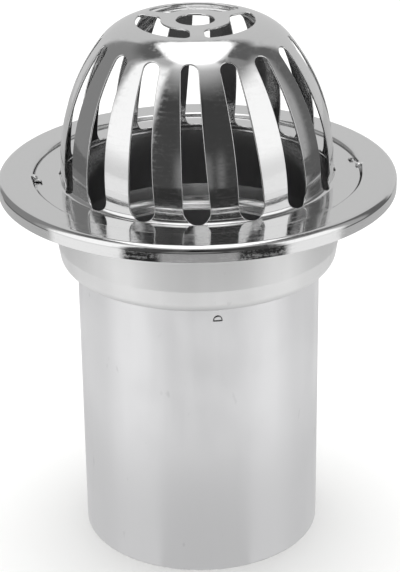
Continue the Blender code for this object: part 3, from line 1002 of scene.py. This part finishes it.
class DRAIN_OT_stage(bpy.types.Operator):
    """Set up the floor, the soft light and the camera"""

    bl_idname = "drain.stage"
    bl_label = "Stage"

    FLOOR_STEPS = 8
    # The tent's radius, centre, steps up and round, elevation at its foot and top, and
    # brightness where no card hangs
    TENT_RADIUS = 1.1
    TENT_CENTRE = (0.0, 0.0, 0.17)
    TENT_ROWS, TENT_COLUMNS = 99, 240
    TENT_FOOT, TENT_TOP = -9.0, 89.5
    TENT_SHADE = 0.14
    # Diffusers and flags: first and last azimuth, first and last elevation, side and end
    # softness, brightness
    TENT_CARDS = (
        (-41, -13, -14, 90, 9, 20, 0.07),
        (-13, -6, -14, 90, 6, 20, 0.12),
        (-6, 6, -14, 11, 6, 6, 0.30),
        (-6, 6, 11, 90, 6, 6, 0.02),
        (6, 45, -14, 90, 9, 20, 0.06),
        (-17, -6, -14, 8, 8, 14, 0.17),
        (6, 12, -14, 8, 6, 10, 0.14),
        (16, 22, -14, 8, 6, 14, 0.14),
        (-44, 48, 56, 90, 14, 36, 1.10),
        (-86, -41, -14, 0, 9, 12, 0.85),
        (-86, -41, 0, 55, 9, 12, 1.28),
        (-86, -44, 56, 90, 12, 8, 0.55),
        (45, 84, -14, 0, 9, 12, 0.95),
        (45, 84, 0, 42, 9, 12, 1.28),
        (48, 84, 42, 90, 9, 12, 0.30),
        (84, 103, -14, 48, 9, 12, 0.45),
        (103, 127, -14, 48, 9, 10, 0.15),
        (127, 217, -14, 50, 9, 10, 0.68),
        (217, 262, -14, 50, 14, 14, 0.28),
        (262, 274, -14, 52, 9, 14, 0.38),
    )
    # The box overhead, on a level plane one metre up: half width, half depth, middle, brightness
    OVERHEAD = (0.36, 0.58, 0.20, 1.65)
    OVERHEAD_ROUNDING = 3.0
    OVERHEAD_SOFT = 0.2
    # Elevation, in radians, below which the level plane is no longer followed outwards
    OVERHEAD_LOWEST = 0.2
    TABLE_HEIGHT = 0.0005
    # Rings on the table: least and greatest distance, the azimuths between which their sectors
    # lie, and the brightness of each sector
    NEAR_AZIMUTHS = (-90, -40, 47, 90, 270)
    TABLE_RINGS = (
        (-0.10, 0.09, NEAR_AZIMUTHS, (0.80, 0.68, 0.80, 0.75)),
        (0.09, 0.24, NEAR_AZIMUTHS, (1.12, 0.98, 1.08, 0.90)),
        (0.24, 0.325, NEAR_AZIMUTHS, (1.15, 1.40, 1.12, 0.90)),
        (0.325, 0.43, (-88, -42, -21, 22, 49, 85, 272), (1.08, 0.03, 0.38, 0.03, 1.05, 0.55)),
        (0.43, 1.40, (-88, -42, 49, 85, 135, 225, 272), (1.05, 0.04, 1.05, 0.13, 0.55, 0.16)),
    )
    # The table's steps out and round, the power that crowds them at the pipe, its reach, and the
    # softness of its rings in metres and of its sectors in degrees
    TABLE_ROWS, TABLE_COLUMNS = 60, 360
    TABLE_CROWDING = 1.5
    TABLE_REACH = 1.2
    TABLE_SOFT = 0.03
    SECTOR_SOFT = 5.0
    # Brightness of the painted shade inside the pipe, its steps out and round, and where it starts
    BORE_SHADE = 0.07
    BORE_ROWS, BORE_COLUMNS = 4, 48
    BORE_START = 0.0005
    # The light overhead, then the camera
    KEY_WIDTH, KEY_DEPTH = 1.0, 0.9
    KEY_PLACE = (0.0, 0.25, 1.35)
    LENS, SENSOR = 121.32, 36.0
    CAMERA_PLACE = (0.0, -0.7237, 0.4398)
    # Turn, pitch and roll of the camera, in degrees
    CAMERA_TURNS = ((-0.04, "Z"), (90.0 - 24.73, "X"), (-0.745, "Z"))

    def execute(self, context):
        look = context.scene.drain_stage
        line = spaced(-look.floor_reach, look.floor_reach, self.FLOOR_STEPS)
        floor = np.stack(np.broadcast_arrays(line, line[:, None], 0.0), axis=-1)
        self.surface("floor", floor, floor_paper(look))
        # The rest of the surroundings is seen only in what the steel mirrors
        for item in (self.tent(), self.table(), self.bore()):
            item.visible_camera = item.visible_diffuse = False
            item.visible_shadow = item.visible_transmission = False
        self.lights(look)
        self.camera(context)
        context.scene.view_settings.view_transform = "Standard"
        return {"FINISHED"}

    def tent(self):
        """A light tent round the drain: centre + R (cos e sin a, -cos e cos a, sin e).

        Its brightness is the sum of its cards, each a window in azimuth and elevation, blended
        with the overhead box, a rounded rectangle |x / w|^k + |y / d|^k < 1 on a level plane.
        """
        azimuth = full_turn(self.TENT_COLUMNS)
        elevation = np.radians(spaced(self.TENT_FOOT, self.TENT_TOP, self.TENT_ROWS))[:, None]
        points = self.TENT_RADIUS * polar(np.cos(elevation), azimuth, np.sin(elevation)) + self.TENT_CENTRE
        glow = 0.0
        shade = 1.0
        for first, last, low, high, side_soft, end_soft, strength in self.TENT_CARDS:
            upright = window(np.degrees(elevation), low, high, end_soft)
            card = sector(azimuth, first, last, side_soft) * upright
            glow = glow + strength * card
            shade = shade - card
        glow = glow + self.TENT_SHADE * np.clip(shade, 0.0, 1.0)
        half_width, half_depth, middle, strength = self.OVERHEAD
        away = 1.0 / np.tan(np.clip(elevation, self.OVERHEAD_LOWEST, None))
        across = np.abs(away * np.sin(azimuth)) / half_width
        along = np.abs(-away * np.cos(azimuth) - middle) / half_depth
        rounding = self.OVERHEAD_ROUNDING
        off_middle = (across ** rounding + along ** rounding) ** (1.0 / rounding)
        box = window(off_middle, -1.0, 1.0, self.OVERHEAD_SOFT)
        glow = glow + (strength - glow) * box
        return self.surface("light_tent", points, soft_glow("diffuser_cloth"), glow)

    def table(self):
        """A fan of level lines just above the floor, which the steel mirrors.

        The line that runs towards azimuth a leaves the pipe at azimuth a / 2, where the pipe
        mirrors it to the camera, so that a sector's sides show upright on the pipe. Behind the
        drain the lines close up until the last leaves it at half a turn.
        """
        azimuth = full_turn(self.TABLE_COLUMNS)
        start = np.interp(np.abs(azimuth), [0.0, math.pi / 2.0, math.pi], [0.0, math.pi / 4.0, math.pi])
        away = spaced(0.0, 1.0, self.TABLE_ROWS)[:, None] ** self.TABLE_CROWDING * self.TABLE_REACH
        foot = polar(PIPE_HIGH[0], np.copysign(start, azimuth), self.TABLE_HEIGHT)
        points = foot + polar(away, azimuth, 0.0)
        glow = 0.0
        for near, far, borders, strengths in self.TABLE_RINGS:
            ring = window(away, near, far, self.TABLE_SOFT)
            for first, last, strength in zip(borders, borders[1:], strengths):
                glow = glow + strength * ring * sector(azimuth, first, last, self.SECTOR_SOFT)
        return self.surface("table_cards", points, soft_glow("table_card"), glow)

    def bore(self):
        """A dark disc on the floor inside the pipe, seen only in what the steel mirrors: painted shade
        which keeps the pipe's inside dark.
        """
        radius = spaced(self.BORE_START, PIPE_HIGH[0], self.BORE_ROWS)[:, None]
        points = polar(radius, full_turn(self.BORE_COLUMNS), self.TABLE_HEIGHT)
        return self.surface("bore_card", points, soft_glow("bore_card"), self.BORE_SHADE)

    def surface(self, name, points, material, glow=0.0):
        """A stage object from a grid of points."""
        shell = Shell()
        shell.patch(points, np.broadcast_to([0.0, 0.0, 1.0], points.shape), marks=glow)
        item = add_object(shell, name, [material])
        return item

    def lights(self, look):
        """An even pale room and one large soft light overhead, which grounds the drain."""
        world = bpy.data.worlds.new("room")
        bpy.context.scene.world = world
        world.use_nodes = True
        background = world.node_tree.nodes["Background"]
        background.inputs["Color"].default_value = (1.0, 1.0, 1.0, 1.0)
        background.inputs["Strength"].default_value = look.sky
        key = bpy.data.lights.new("overhead", "AREA")
        key.shape = "RECTANGLE"
        key.size, key.size_y = self.KEY_WIDTH, self.KEY_DEPTH
        key.energy = look.key
        item = bpy.data.objects.new("overhead", key)
        item.location = self.KEY_PLACE
        item.visible_glossy = False
        bpy.context.scene.collection.objects.link(item)

    def camera(self, context):
        """The photograph's camera: its place, turn, pitch and roll, found from the rings."""
        data = bpy.data.cameras.new("camera")
        data.lens = self.LENS
        data.sensor_width = self.SENSOR
        data.sensor_fit = "AUTO"
        camera = bpy.data.objects.new("camera", data)
        turns = Matrix()
        for degrees, axis in self.CAMERA_TURNS:
            turns = turns @ Matrix.Rotation(math.radians(degrees), 4, axis)
        camera.matrix_world = Matrix.Translation(self.CAMERA_PLACE) @ turns
        context.scene.collection.objects.link(camera)
        context.scene.camera = camera


class VIEW3D_PT_floor_drain(bpy.types.Panel):
    """Buttons and sizes of the floor drain"""

    bl_label = "Floor Drain"
    bl_space_type = "VIEW_3D"
    bl_region_type = "UI"
    bl_category = "Floor Drain"

    def draw(self, context):
        for operator in OPERATORS:
            self.layout.operator(operator.bl_idname)
        for name, group in SETTINGS.items():
            box = self.layout.box()
            for setting in group.__annotations__:
                box.prop(getattr(context.scene, name), setting)


OPERATORS = (DRAIN_OT_strainer_dome, DRAIN_OT_flange_bowl, DRAIN_OT_outlet_pipe, DRAIN_OT_stage)
SETTINGS = {
    "drain_strainer": StrainerSizes,
    "drain_bowl": BowlSizes,
    "drain_pipe": PipeSizes,
    "drain_steel": SteelLook,
    "drain_stage": StageLook,
}
CLASSES = (*SETTINGS.values(), *OPERATORS, VIEW3D_PT_floor_drain)


def register():
    for item in CLASSES:
        bpy.utils.register_class(item)
    for name, group in SETTINGS.items():
        setattr(bpy.types.Scene, name, bpy.props.PointerProperty(type=group))


def unregister():
    for name in SETTINGS:
        delattr(bpy.types.Scene, name)
    for item in reversed(CLASSES):
        bpy.utils.unregister_class(item)


def main():
    register()
    bpy.ops.drain.strainer_dome()
    bpy.ops.drain.flange_bowl()
    bpy.ops.drain.outlet_pipe()
    bpy.ops.drain.stage()


if __name__ == "__main__":
    main()
